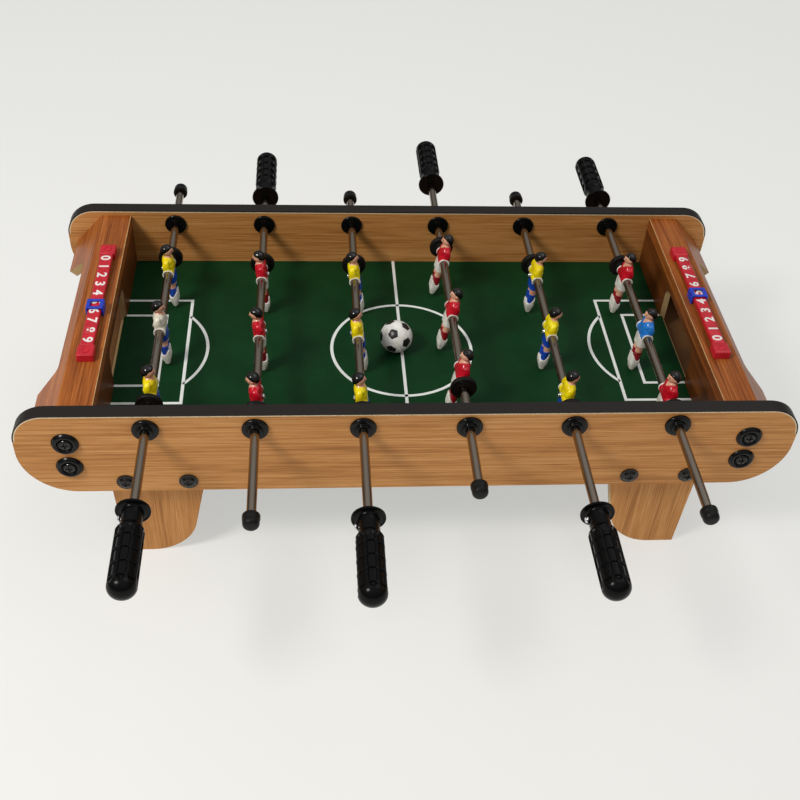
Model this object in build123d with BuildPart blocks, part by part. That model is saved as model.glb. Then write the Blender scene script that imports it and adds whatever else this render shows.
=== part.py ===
from build123d import *
import os
from math import asin, cos, sin

# Tabletop foosball, six rods. Millimetres, +Z up, standing on z = 0.
# Every piece is drawn about the middle of the playing field. The handles stand out further at the front than
# at the back, so save() sets the table back by bed_y: the origin is the middle of the space it takes.
bed_y = 17.0

# side boards
table_length = 684.0
board_thick = 13.0
board_inside = 147.6            # from the middle of the field to a board's inner face
board_face = board_inside + board_thick
board_bottom = 97.0
board_top = 188.6
board_end_top_radius = 29.0
board_end_bottom_radius = 48.5
edging_thick = 1.2
edging_low = 159.6              # the edging stops where the end of the board turns down

# playing field
pitch_top = 125.4
pitch_thick = 5.0
pitch_length = 555.0
pitch_groove = 3.0              # how far the field is let into each side board

# ends: goal wall, top rail, sloping end board, ball tray
wall_inside = 275.0
wall_thick = 6.0
wall_bottom = 102.0
mouth_width = 103.0
mouth_height = 38.0             # above the field
mouth_corner = 9.0
rail_top = 182.4
rail_thick = 12.0
slope_top_x = 305.0
slope_low_x = 333.8
slope_low_z = 151.1
slope_thick = 9.0
cutout_low = 186.0              # finger cut-out, along the slope's lower edge
cutout_high = 164.0
cutout_depth = 28.0
cutout_corner = 8.0
tray_bottom = 105.0
tray_floor = 5.0
tray_lip = 9.4
tray_lip_top = 135.0
tray_cheek = 18.0

# legs
leg_thick = 13.0
leg_top_in = 181.0
leg_top_out = 271.0
leg_foot_in = 205.5
leg_foot_out = 266.0
leg_radius = 45.0

# fixings in the side boards, as (x, z)
cup_spots = [(-298.7, 128.8), (-298.7, 156.8), (298.7, 128.8), (298.7, 156.8)]
leg_spots = [(-253.0, 108.8), (-198.8, 108.8), (198.8, 108.8), (253.0, 108.8)]
screw_radius = 2.5
cup_radius = 11.7

# rods: x, how far each is pushed towards the back, and how far its feet are swung towards +X
rod_pitch = 92.0
rod_z = 172.5
rod_radius = 4.0
rod_wall = 1.0
rod_slides = [-21.0, -31.0, -32.5, -1.5, -31.5, -33.0]
rod_swings = [3.7, 4.3, 9.5, -11.2, -4.6, -6.8]
running_gap = 0.05              # between a rod and whatever it slides or turns in
small_screw_radius = 1.5        # the screws that pin the figures and the handle to the rod
bush_flange_radius = 11.5
bush_flange = 3.0
bush_collar_radius = 6.4
bush_shank_radius = 6.0
nut_radius = 11.0
nut_thick = 2.5

# things on a rod, measured from the middle figure
figure_pitch = 90.0
figure_half = 12.0
bumper_start = 102.3
bumper_disc = 106.2
bumper_end = 111.5
bumper_radius = 12.0
cap_start = 227.4
cap_end = 239.6
cap_radius = 7.3
handle_start = 229.4
handle_end = 314.1
handle_flange_radius = 14.0
handle_neck_radius = 8.8
handle_radius = 11.6
handle_flutes = 8
handle_screw_along = 8.2        # from the handle's start to the screw through its neck
handle_screw_seat = 9.6         # from the rod's axis to the face of the boss under the screw's head
handle_boss_radius = 3.4

# figures, heights measured from the rod's axis
head_radius = 6.3
head_up = 21.7
foot_down = 44.0

# ball, clear of the turning feet on the rods either side of it
ball_radius = 16.0
ball_spot = (-6.2, -1.0, pitch_top + 0.3 + ball_radius)

# score bars
score_x = 288.8
score_end = 84.5
score_block = 15.0
score_bar_width = 11.8
score_bar_up = 3.2
score_bar_thick = 4.5
score_block_high = 8.5
marker_spots = {"left": -13.0, "right": 5.0}
marker_length = 14.0
marker_width = 16.0

os.makedirs("parts", exist_ok=True)


def save(part, label):
    """Set a piece back to its place behind the origin, name it and write it."""
    placed = Pos(0, bed_y, 0) * part
    placed.label = label
    export_step(placed, f"parts/{label}.step")


def on_both_boards(spots):
    """Places on the outer faces of the side boards, each with +Y pointing out of the table."""
    front = [Location((x, -board_face, z), (0, 0, 180)) for x, z in spots]
    back = [Location((x, board_face, z)) for x, z in spots]
    return front + back


def board_solid(plane, amount, inset, mode=Mode.ADD):
    """A side board's rounded outline, drawn in by an inset and made solid."""
    with BuildSketch(plane) as outline:
        with Locations((0, (board_top + board_bottom) / 2)):
            Rectangle(table_length - 2 * inset, board_top - board_bottom - 2 * inset)
        fillet(outline.vertices().group_by(Axis.Y)[-1], board_end_top_radius - inset)
        fillet(outline.vertices().group_by(Axis.Y)[0], board_end_bottom_radius - inset)
    extrude(outline.sketch, amount=amount, mode=mode)


# ---------------------------------------------------------------- playing field
with BuildPart() as pitch:
    with Locations((0, 0, pitch_top - pitch_thick)):
        Box(pitch_length, 2 * (board_inside + pitch_groove), pitch_thick,
            align=(Align.CENTER, Align.CENTER, Align.MIN))
save(pitch.part, "pitch_board")

# ---------------------------------------------------------------- side boards and their edging
rod_x = [(i - 2.5) * rod_pitch for i in range(6)]
board_planes = {"front": (Plane.XZ.offset(board_inside), board_thick),
                "back": (Plane.XZ.offset(-board_inside), -board_thick)}

with BuildPart() as edging:
    for plane, amount in board_planes.values():
        board_solid(plane, amount, 0)
        board_solid(plane, amount, edging_thick, mode=Mode.SUBTRACT)
    with Locations((0, 0, edging_low)):
        Box(2 * table_length, 4 * board_face, 2 * board_top,
            align=(Align.CENTER, Align.CENTER, Align.MAX), mode=Mode.SUBTRACT)
save(edging.part, "side_board_edging")

for side, (plane, amount) in board_planes.items():
    with BuildPart() as board:
        board_solid(plane, amount, 0)
        with BuildSketch(plane):
            with Locations([(x, rod_z) for x in rod_x]):
                Circle(bush_shank_radius)
            with Locations(cup_spots + leg_spots):
                Circle(screw_radius)
        extrude(amount=amount, mode=Mode.SUBTRACT)
        add(edging.part, mode=Mode.SUBTRACT)
        add(pitch.part, mode=Mode.SUBTRACT)
    save(board.part, f"{side}_side_board")

# ---------------------------------------------------------------- ends
slope_run = slope_low_x - slope_top_x
slope_drop = rail_top - slope_low_z
slope_span = (slope_run**2 + slope_drop**2) ** 0.5
out_x = slope_drop / slope_span         # the slope's outward direction
out_z = slope_run / slope_span
slope_low_in = (slope_low_x - slope_thick * out_x, slope_low_z - slope_thick * out_z)
mitre_z = rail_top - rail_thick
mitre_x = slope_low_in[0] - (mitre_z - slope_low_in[1]) * slope_run / slope_drop
tray_out = slope_low_in[0]
cup_depth = 16.0                        # how far a cup washer's screw goes into the tray's cheek


def slab(points, half_width):
    """A profile in X and Z, made solid to both sides of the middle of the table."""
    with BuildSketch(Plane.XZ) as profile:
        with BuildLine():
            Polyline(*points, close=True)
        make_face()
    extrude(profile.sketch, amount=half_width, both=True)


for side, s in (("left", -1), ("right", 1)):
    with BuildPart() as wall:
        with Locations((s * (wall_inside + wall_thick / 2), 0, wall_bottom)):
            Box(wall_thick, 2 * board_inside, mitre_z - wall_bottom,
                align=(Align.CENTER, Align.CENTER, Align.MIN))
        with BuildSketch(Plane.YZ.offset(s * wall_inside)) as mouth:
            with Locations((0, pitch_top - pitch_thick)):
                Rectangle(mouth_width, mouth_height + pitch_thick, align=(Align.CENTER, Align.MIN))
            fillet(mouth.vertices().group_by(Axis.Y)[-1], mouth_corner)
        extrude(amount=s * wall_thick, mode=Mode.SUBTRACT)
        add(pitch.part, mode=Mode.SUBTRACT)
    save(wall.part, f"{side}_goal_wall")

    with BuildPart() as rail:
        slab([(s * wall_inside, rail_top), (s * slope_top_x, rail_top),
              (s * mitre_x, mitre_z), (s * wall_inside, mitre_z)], board_inside)
    save(rail.part, f"{side}_top_rail")

    with BuildPart() as slope:
        slab([(s * slope_top_x, rail_top), (s * slope_low_x, slope_low_z),
              (s * slope_low_in[0], slope_low_in[1]), (s * mitre_x, mitre_z)], board_inside)
        slope_face = Plane(origin=(s * slope_low_x, 0, slope_low_z), x_dir=(0, s, 0),
                           z_dir=(s * out_x, 0, out_z))
        with BuildSketch(slope_face) as cutout:
            with BuildLine():
                Polyline((-cutout_low / 2, 0), (cutout_low / 2, 0), (cutout_high / 2, cutout_depth),
                         (-cutout_high / 2, cutout_depth), close=True)
            make_face()
            fillet(cutout.vertices().group_by(Axis.Y)[-1], cutout_corner)
        extrude(amount=2 * slope_thick, both=True, mode=Mode.SUBTRACT)
    save(slope.part, f"{side}_end_slope")

    wall_out = wall_inside + wall_thick
    tray_top = tray_bottom + tray_floor
    with BuildPart() as tray:
        slab([(s * wall_out, tray_bottom), (s * tray_out, tray_bottom), (s * tray_out, tray_lip_top),
              (s * (tray_out - tray_lip), tray_lip_top), (s * (tray_out - tray_lip), tray_top),
              (s * wall_out, tray_top)], board_inside)
        for end in (-1, 1):
            with BuildSketch(Plane.XZ.offset(end * (board_inside - tray_cheek))):
                with BuildLine():
                    Polyline((s * wall_out, tray_bottom), (s * tray_out, tray_bottom),
                             (s * tray_out, slope_low_in[1]), (s * mitre_x, mitre_z),
                             (s * wall_out, mitre_z), close=True)
                make_face()
            extrude(amount=end * tray_cheek)
            with BuildSketch(Plane.XZ.offset(end * board_inside)):
                with Locations([spot for spot in cup_spots if spot[0] * s > 0]):
                    Circle(screw_radius)
            extrude(amount=-end * cup_depth, mode=Mode.SUBTRACT)
    save(tray.part, f"{side}_ball_tray")

# ---------------------------------------------------------------- legs
leg_screw_depth = 11.0
leg_top = pitch_top - pitch_thick       # the legs stop under the field
for row, (plane, amount) in board_planes.items():
    inward = -amount / board_thick
    for side, s in (("left", -1), ("right", 1)):
        with BuildPart() as leg:
            with BuildSketch(plane) as leg_face:
                with BuildLine():
                    Polyline((s * leg_top_in, leg_top), (s * leg_top_out, leg_top),
                             (s * leg_foot_out, 0), (s * leg_foot_in, 0), close=True)
                make_face()
                heel = leg_face.vertices().sort_by_distance((s * leg_foot_in, 0))[0]
                fillet(heel, leg_radius)
            extrude(amount=inward * leg_thick)
            with BuildSketch(plane):
                with Locations([spot for spot in leg_spots if spot[0] * s > 0]):
                    Circle(screw_radius)
            extrude(amount=inward * leg_screw_depth, mode=Mode.SUBTRACT)
        save(leg.part, f"leg_{row}_{side}")

# ---------------------------------------------------------------- cup washers and screws in the side boards
# drawn with +Y out of the table and y = 0 on the board's face
cup_seat = 1.2
with BuildPart() as cup:
    with BuildSketch(Plane.XY):
        with BuildLine():
            Polyline((screw_radius, 0), (cup_radius, 0), (cup_radius, 0.9), (cup_radius - 1.6, 2.9),
                     (cup_radius - 3.2, 3.4), (cup_radius - 4.4, 2.9), (6.0, cup_seat),
                     (screw_radius, cup_seat), close=True)
        make_face()
    revolve(axis=Axis.Y)

with BuildPart() as cup_washers:
    with Locations(on_both_boards(cup_spots)):
        add(cup.part)
save(cup_washers.part, "screw_cup_washers")


def cross_screw(head_seat, head_points, tip):
    """A screw on the Y axis: a turned head and shank with a cross recess in the head."""
    with BuildPart() as screw:
        with BuildSketch(Plane.XY):
            with BuildLine():
                Polyline((0, -tip), (screw_radius - 1.0, -tip), (screw_radius, 3.0 - tip),
                         (screw_radius, head_seat), *head_points, close=True)
            make_face()
        revolve(axis=Axis.Y)
        with Locations((0, head_points[-1][1], 0)):
            Box(1.1, 3.0, 5.2, mode=Mode.SUBTRACT)
            Box(5.2, 3.0, 1.1, mode=Mode.SUBTRACT)
    return screw.part


cup_screw = cross_screw(cup_seat, [(5.4, cup_seat), (5.4, 2.2), (4.0, 3.3), (0, 3.8)],
                        board_thick + cup_depth)
leg_screw = cross_screw(0, [(8.4, 0), (8.4, 1.2), (6.6, 1.7), (5.0, 3.4), (0, 4.3)],
                        board_thick + leg_screw_depth)
with BuildPart() as frame_screws:
    with Locations(on_both_boards(cup_spots)):
        add(cup_screw)
    with Locations(on_both_boards(leg_spots)):
        add(leg_screw)
save(frame_screws.part, "frame_screws")

# ---------------------------------------------------------------- rod bushes and their nuts
shank_end = board_thick + nut_thick
with BuildPart() as bush:
    with BuildSketch(Plane.XY):
        bore = rod_radius + running_gap
        with BuildLine():
            Polyline((bore, -shank_end), (bush_shank_radius, -shank_end), (bush_shank_radius, 0),
                     (bush_flange_radius, 0), (bush_flange_radius, bush_flange - 1.0),
                     (bush_flange_radius - 1.2, bush_flange), (bush_collar_radius, bush_flange),
                     (bush_collar_radius, bush_flange + 1.6), (bush_collar_radius - 0.8, bush_flange + 2.2),
                     (bore, bush_flange + 2.2), close=True)
        make_face()
    revolve(axis=Axis.Y)

with BuildPart() as bush_nut:
    with BuildSketch(Plane.XY):
        with BuildLine():
            Polyline((bush_shank_radius, -shank_end), (nut_radius - 0.8, -shank_end),
                     (nut_radius, -shank_end + 0.8), (nut_radius, -board_thick),
                     (bush_shank_radius, -board_thick), close=True)
        make_face()
    revolve(axis=Axis.Y)

bush_places = on_both_boards([(x, rod_z) for x in rod_x])
with BuildPart() as bushes:
    with Locations(bush_places):
        add(bush.part)
save(bushes.part, "rod_bushes")

with BuildPart() as bush_nuts:
    with Locations(bush_places):
        add(bush_nut.part)
save(bush_nuts.part, "rod_bush_nuts")

# ---------------------------------------------------------------- one figure, facing +X, about the rod's axis
spot_face = -5.6                # the flat on the figure's back for its screw


def block(half_x, half_y, z, turn=2.0):
    """A rounded rectangle at a height, ready for a loft."""
    with BuildSketch(Plane.XY.offset(z)) as section:
        RectangleRounded(2 * half_x, 2 * half_y, turn)
    return section.sketch


with BuildPart() as figure:
    loft([block(5.9, 10.6, -4.0), block(5.9, 11.0, 6.0), block(4.6, 9.0, 14.6)])
    with BuildSketch(Plane.XZ.offset(figure_half)):
        Circle(5.8)
    extrude(amount=-2 * figure_half)
    with Locations((0.4, 0, 15.5)):
        Cylinder(2.8, 5.0)
    with Locations((0.8, 0, head_up)):
        Sphere(head_radius)
    loft([block(5.4, 8.6, -14.0), block(5.8, 9.4, -3.0)])
    for leg_y in (-3.9, 3.9):
        with BuildSketch(Plane.XY.offset(-34.0)):
            with Locations((0, leg_y)):
                Ellipse(3.3, 3.0)
        with BuildSketch(Plane.XY.offset(-13.0)):
            with Locations((0, leg_y)):
                Ellipse(4.4, 3.6)
        loft()
    loft([block(3.2, 5.6, -foot_down, 1.2), block(4.8, 6.9, -36.0, 1.6), block(4.6, 6.9, -31.5, 1.6)])
    with BuildSketch(Plane.XZ.offset(figure_half)):
        Circle(rod_radius)
    extrude(amount=-2 * figure_half, mode=Mode.SUBTRACT)
    with BuildSketch(Plane.YZ.offset(spot_face)):
        Circle(3.0)
    extrude(amount=-10.0, mode=Mode.SUBTRACT)
    with BuildSketch(Plane.YZ.offset(spot_face)):
        Circle(small_screw_radius)
    extrude(amount=-spot_face, mode=Mode.SUBTRACT)


def small_screw(seat):
    """A cross-head screw from the rod's axis out along -X, with its head on a seat that far out."""
    head_thick = 2.0
    with BuildPart() as screw:
        with BuildSketch(Plane.YZ):
            Circle(small_screw_radius)
        extrude(amount=-seat)
        with BuildSketch(Plane.YZ.offset(-seat)):
            Circle(2.7)
        extrude(amount=-head_thick)
        fillet(screw.faces().sort_by(Axis.X)[0].edges(), 0.8)
        with Locations((-seat - head_thick, 0, 0)):
            Box(2.0, 0.8, 3.2, mode=Mode.SUBTRACT)
            Box(2.0, 3.2, 0.8, mode=Mode.SUBTRACT)
    return screw.part


figure_screw = small_screw(-spot_face)
handle_screw = small_screw(handle_screw_seat)

# ---------------------------------------------------------------- rods
with BuildPart() as handle:
    with BuildSketch(Plane.XY):
        with BuildLine():
            grip_start = handle_start + 23.0
            dome = 10.0
            dome_start = handle_end - dome
            dome_radius = (handle_radius**2 + dome**2) / (2 * dome)
            dome_half = asin(handle_radius / dome_radius) / 2
            dome_mid = (dome_radius * sin(dome_half), handle_end - dome_radius + dome_radius * cos(dome_half))
            Polyline((0, handle_start), (handle_flange_radius, handle_start),
                     (handle_flange_radius, handle_start + 2.4), (handle_neck_radius, handle_start + 3.4),
                     (handle_neck_radius, grip_start - 5.0), (handle_radius, grip_start),
                     (handle_radius, dome_start))
            ThreePointArc((handle_radius, dome_start), dome_mid, (0, handle_end))
            Line((0, handle_end), (0, handle_start))
        make_face()
    revolve(axis=Axis.Y)
    with BuildSketch(Plane.XZ.offset(-grip_start)):
        with PolarLocations(handle_radius + 2.2, handle_flutes):
            Circle(3.0)
    extrude(amount=-(dome_start - grip_start), mode=Mode.SUBTRACT)
    for radius, mode in ((handle_boss_radius, Mode.ADD), (small_screw_radius, Mode.SUBTRACT)):
        with BuildSketch(Plane.YZ):
            with Locations((handle_start + handle_screw_along, 0)):
                Circle(radius)
        extrude(amount=-handle_screw_seat, mode=mode)
    with BuildSketch(Plane.XZ.offset(-handle_start)):
        Circle(rod_radius)
    extrude(amount=-(handle_end - 12.0 - handle_start), mode=Mode.SUBTRACT)

with BuildPart() as cap:
    with BuildSketch(Plane.XZ.offset(cap_start)):
        Circle(cap_radius)
    extrude(amount=cap_end - cap_start)
    fillet(cap.faces().sort_by(Axis.Y)[0].edges(), 5.0)
    fillet(cap.faces().sort_by(Axis.Y)[-1].edges(), 0.8)
    with BuildSketch(Plane.XZ.offset(cap_start)):
        Circle(rod_radius)
    extrude(amount=cap_end - cap_start - 2.5, mode=Mode.SUBTRACT)

with BuildPart() as bumper:
    with BuildSketch(Plane.XY):
        with BuildLine():
            bore = rod_radius + running_gap
            Polyline((bore, bumper_start), (7.0, bumper_start), (7.0, bumper_disc),
                     (bumper_radius - 0.8, bumper_disc), (bumper_radius, bumper_disc + 0.8),
                     (bumper_radius, bumper_end - 0.8), (bumper_radius - 0.8, bumper_end),
                     (bore, bumper_end), close=True)
        make_face()
    revolve(axis=Axis.Y)

for number, (x, slide, swing) in enumerate(zip(rod_x, rod_slides, rod_swings), start=1):
    handle_at_front = number % 2 == 1
    swung = Location((x, slide, rod_z), (0, -swing, 0))
    # a handle is drawn towards +Y; either turn keeps its screw in line with the figures' screws
    along_rod = swung * Location((0, 0, 0), (180, 0, 0) if handle_at_front else (0, 180, 0))
    facing = 0 if handle_at_front else 180
    figure_places = [swung * Location((0, dy, 0), (0, 0, facing)) for dy in (-figure_pitch, 0, figure_pitch)]

    with BuildPart() as screws:
        with Locations(figure_places):
            add(figure_screw)
        with Locations(along_rod * Location((0, handle_start + handle_screw_along, 0))):
            add(handle_screw)
    save(screws.part, f"rod_{number}_screws")

    with BuildPart() as figures:
        with Locations(figure_places):
            add(figure.part)
    save(figures.part, f"rod_{number}_figures")

    with BuildPart() as tube:
        with BuildSketch(Plane.XZ.offset(cap_end - 2.5)):
            Circle(rod_radius)
            Circle(rod_radius - rod_wall, mode=Mode.SUBTRACT)
        extrude(amount=-(cap_end - 2.5 + handle_end - 12.0))
    with BuildPart() as rod:
        with Locations(along_rod):
            add(tube.part)
        add(screws.part, mode=Mode.SUBTRACT)
    save(rod.part, f"rod_{number}_tube")

    for piece, label in ((handle, "handle"), (cap, "end_cap")):
        with BuildPart() as fitted:
            with Locations(along_rod):
                add(piece.part)
        save(fitted.part, f"rod_{number}_{label}")

    with BuildPart() as bumpers:
        with Locations(Location((x, slide, rod_z)), Location((x, slide, rod_z), (0, 0, 180))):
            add(bumper.part)
    save(bumpers.part, f"rod_{number}_bumpers")

# ---------------------------------------------------------------- ball
with BuildPart() as ball:
    with Locations(ball_spot):
        Sphere(ball_radius)
save(ball.part, "ball")

# ---------------------------------------------------------------- score bars and their markers
with BuildPart() as score_bars:
    for s in (-1, 1):
        with Locations((s * score_x, 0, rail_top + score_bar_up)):
            Box(score_bar_width, 2 * (score_end - score_block), score_bar_thick,
                align=(Align.CENTER, Align.CENTER, Align.MIN))
        for end in (-1, 1):
            with Locations((s * score_x, end * (score_end - score_block / 2), rail_top)):
                Box(score_block, score_block, score_block_high, align=(Align.CENTER, Align.CENTER, Align.MIN))
    chamfer(score_bars.faces().group_by(Axis.Z)[-1].edges(), 0.5)
save(score_bars.part, "score_bars")

for side, s in (("left", -1), ("right", 1)):
    middle = (s * score_x, marker_spots[side], rail_top)
    with BuildPart() as marker:
        with Locations(middle):
            with Locations((0, 0, 0.5)):
                Box(marker_width, marker_length, 9.6, align=(Align.CENTER, Align.CENTER, Align.MIN))
            with Locations((0, 0, score_bar_up - 0.5)):
                Box(score_bar_width + 1.0, marker_length, score_bar_thick + 1.2,
                    align=(Align.CENTER, Align.CENTER, Align.MIN), mode=Mode.SUBTRACT)
            with Locations((0, 0, score_bar_up + score_bar_thick)):
                Box(8.6, 8.0, 6.0, align=(Align.CENTER, Align.CENTER, Align.MIN), mode=Mode.SUBTRACT)
    save(marker.part, f"{side}_score_marker")
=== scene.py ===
# %% [markdown]
# # A tabletop foosball game, finished in Blender
# The table is real in size: 684 mm long, six steel rods, eighteen little players. Its shape, its joints and
# its fixed frame come from a CAD model. This script gives that model its looks: woodgrain boards, black
# mouldings, painted players. Every length below is written in millimetres and turned into metres by `MM`.

from math import radians

import bmesh
import bpy
import numpy as np
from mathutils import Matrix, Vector


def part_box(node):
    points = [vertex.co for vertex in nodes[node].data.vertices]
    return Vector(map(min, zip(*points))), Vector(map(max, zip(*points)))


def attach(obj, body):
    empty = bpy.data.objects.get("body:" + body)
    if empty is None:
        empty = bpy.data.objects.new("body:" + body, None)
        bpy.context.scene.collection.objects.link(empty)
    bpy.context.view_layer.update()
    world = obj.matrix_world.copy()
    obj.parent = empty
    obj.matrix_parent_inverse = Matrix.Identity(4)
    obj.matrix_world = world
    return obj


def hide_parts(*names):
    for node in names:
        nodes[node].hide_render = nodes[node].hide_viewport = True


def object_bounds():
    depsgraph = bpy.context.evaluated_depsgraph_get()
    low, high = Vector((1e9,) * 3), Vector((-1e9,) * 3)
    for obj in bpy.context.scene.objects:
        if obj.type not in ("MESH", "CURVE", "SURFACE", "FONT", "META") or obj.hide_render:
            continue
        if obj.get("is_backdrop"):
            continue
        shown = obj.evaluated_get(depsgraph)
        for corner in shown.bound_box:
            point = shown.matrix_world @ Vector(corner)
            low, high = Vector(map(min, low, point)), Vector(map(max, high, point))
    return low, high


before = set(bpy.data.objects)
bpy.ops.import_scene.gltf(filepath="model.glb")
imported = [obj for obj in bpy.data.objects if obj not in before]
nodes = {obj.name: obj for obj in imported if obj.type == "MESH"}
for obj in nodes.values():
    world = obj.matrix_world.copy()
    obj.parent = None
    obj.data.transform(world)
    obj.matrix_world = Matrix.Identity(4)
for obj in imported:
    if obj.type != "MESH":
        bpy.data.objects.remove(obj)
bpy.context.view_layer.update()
MM = 0.001
rng = np.random.default_rng(27)

# %% [markdown]
# ## Colours and shader nodes
# Paint charts give colours as hex numbers, which follow the eye rather than the light. A shader adds up
# light, so `srgb` turns a hex colour into linear values. `add` makes one shader node with its settings and
# its links, so a material below reads like a short recipe.

# %% Colours and shader nodes
def srgb(colour):
    """The linear RGBA of a hex sRGB colour: a straight part near black, a power of 2.4 above it."""
    part = np.array([int(colour[i:i + 2], 16) for i in (1, 3, 5)]) / 255
    linear = np.where(part <= 0.04045, part / 12.92, ((part + 0.055) / 1.055) ** 2.4)
    return (*linear.tolist(), 1.0)


def add(tree, kind, inputs=None, stops=None, **settings):
    """One shader node. Inputs are values or other nodes' outputs, stops are a colour ramp's
    (place, colour) pairs."""
    made = tree.nodes.new("ShaderNode" + kind)
    for key, value in settings.items():
        setattr(made, key, value)
    for socket, value in (inputs or {}).items():
        if isinstance(value, bpy.types.NodeSocket):
            tree.links.new(value, made.inputs[socket])
        else:
            made.inputs[socket].default_value = value
    if stops:
        ramp = made.color_ramp.elements
        while len(ramp) < len(stops):
            ramp.new(0.5)
        for element, (place, colour) in zip(ramp, stops):
            element.position, element.color = place, colour
    return made


def grey(value):
    """A ramp colour that stands for a plain number."""
    return (value, value, value, 1.0)


def new_material(name, **settings):
    """A material with its shader's own sockets set: returns it, its node tree, the shader and object
    coordinates."""
    made = bpy.data.materials.new(name)
    made.use_nodes = True
    tree = made.node_tree
    shader = tree.nodes["Principled BSDF"]
    for socket, value in settings.items():
        shader.inputs[socket.replace("_", " ")].default_value = value
    return made, tree, shader, add(tree, "TexCoord")


def streaks(tree, where, size, detail=5.0, roughness=0.55, distortion=0.0):
    """Noise whose grains measure `size` (x, y, z) millimetres in the row frame."""
    stretched = add(tree, "Mapping", {"Vector": where, "Scale": tuple(1 / (s * MM) for s in size)})
    noise = add(tree, "TexNoise", {"Vector": stretched.outputs[0], "Scale": 1.0, "Detail": detail,
            "Roughness": roughness, "Distortion": distortion})
    return noise.outputs["Fac"]


def bump(tree, shader, height, depth, strength=1.0):
    """Let a height pattern catch the light: depth is in millimetres."""
    made = add(tree, "Bump", {"Height": height, "Distance": depth * MM, "Strength": strength})
    tree.links.new(made.outputs[0], shader.inputs["Normal"])


def maths(tree, operation, *values):
    """The output of one arithmetic node."""
    return add(tree, "Math", dict(enumerate(values)), operation=operation).outputs[0]


def rough(tree, shader, pattern, low, high):
    """Let a pattern carry the roughness from low to high."""
    made = add(tree, "MapRange", {"Value": pattern, "To Min": low, "To Max": high})
    tree.links.new(made.outputs[0], shader.inputs["Roughness"])


def coloured(tree, shader, pattern, *stops):
    """Let a pattern carry the colour through stops of (place, hex colour)."""
    made = add(tree, "ValToRGB", {0: pattern}, stops=[(place, srgb(colour)) for place, colour in stops])
    tree.links.new(made.outputs[0], shader.inputs["Base Color"])


# %% [markdown]
# ## Surfaces from arrays
# A piece is a grid of points, rows by columns. `surface` joins neighbouring points with quads and closes
# the ends, and `piece` collects several such skins into one object. `turned` spins a profile as a lathe
# does, `stacked` lays ovals on top of one another as a mould-maker lofts a body, and `prism` raises a flat
# outline.

# %% Surfaces from arrays
def surface(points, ring=False):
    """Close a grid (rows, columns, 3) all the way round. With ring the last row also joins the first,
    otherwise each end row closes with a fan about its middle."""
    rows, columns = points.shape[:2]
    here = np.arange(rows * columns).reshape(rows, columns)
    there = np.roll(here, -1, axis=1)
    if ring:
        quads = np.stack([here, there, np.roll(there, -1, 0), np.roll(here, -1, 0)], -1).reshape(-1, 4)
        return points.reshape(-1, 3), quads.tolist()
    quads = np.stack([here[:-1], there[:-1], there[1:], here[1:]], -1).reshape(-1, 4)
    hub = rows * columns
    first = np.stack([there[0], here[0], np.full(columns, hub)], -1)
    last = np.stack([here[-1], there[-1], np.full(columns, hub + 1)], -1)
    ends = points[[0, -1]].mean(axis=1)
    return np.concatenate([points.reshape(-1, 3), ends]), quads.tolist() + first.tolist() + last.tolist()


def piece(name, skins, body, stands_for=(), sharp=38):
    """One object from skins of (points in mm, faces, material). For a skin in several materials, the third
    is a pair: the materials, and each face's number among them."""
    points, faces, palette, numbers, start = [], [], [], [], 0
    for skin_points, skin_faces, material in skins:
        mixed = isinstance(material, tuple)
        choices, picked = material if mixed else ([material], np.zeros(len(skin_faces), int))
        for choice in choices:
            if choice not in palette:
                palette.append(choice)
        numbers.append(np.array([palette.index(choice) for choice in choices])[picked])
        points.append(skin_points)
        faces += [[start + i for i in face] for face in skin_faces]
        start += len(skin_points)
    mesh = bpy.data.meshes.new(name)
    mesh.from_pydata((np.concatenate(points) * MM).tolist(), [], faces)
    for material in palette:
        mesh.materials.append(material)
    mesh.polygons.foreach_set("material_index", np.concatenate(numbers).astype(np.int32))
    work = bmesh.new()
    work.from_mesh(mesh)
    bmesh.ops.recalc_face_normals(work, faces=work.faces)
    work.to_mesh(mesh)
    work.free()
    mesh.shade_smooth()
    mesh.set_sharp_from_angle(angle=radians(sharp))
    made = bpy.data.objects.new(name, mesh)
    bpy.context.scene.collection.objects.link(made)
    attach(made, body)
    if stands_for:
        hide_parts(*stands_for)
    print(f"{name}: {len(faces)} faces")
    return made


def made_of(material, *skins):
    """Skins that are all of one material."""
    return [(*skin, material) for skin in skins]


def box_mm(node):
    """A CAD node's lowest and highest corners, in mm."""
    return [np.array(corner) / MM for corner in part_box(node)]


def eased(points, ease, closed=True):
    """Round a profile's corners: each gives way to a quadratic curve that begins and ends `ease` mm from
    it."""
    p = np.array(points, float)
    before, after = np.roll(p, 1, 0) - p, np.roll(p, -1, 0) - p
    long_before, long_after = (np.linalg.norm(v, axis=1, keepdims=True) + 1e-9 for v in (before, after))
    a = p + before / long_before * np.minimum(ease, 0.45 * long_before)
    b = p + after / long_after * np.minimum(ease, 0.45 * long_after)
    t = np.linspace(0, 1, 4)[:, None, None]
    curve = ((1 - t) ** 2 * a + 2 * t * (1 - t) * p + t ** 2 * b).transpose(1, 0, 2).reshape(-1, 2)
    return curve if closed else np.concatenate([p[:1], curve[4:-4], p[-1:]])


def turned(profile, columns=64, ring=False, spread=None):
    """Spin a profile of (radius, y) points about the Y axis: x = radius cos a, z = radius sin a.
    spread(y, a) can be given, and is added to the radius."""
    profile = np.array(profile, float)
    a = np.linspace(0, 2 * np.pi, columns, endpoint=False)
    r, y = profile[:, :1] + 0 * a, profile[:, 1:] + 0 * a
    if spread is not None:
        r = r + spread(y, a + 0 * y)
    return surface(np.stack([r * np.cos(a), y, r * np.sin(a)], -1), ring)


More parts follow.
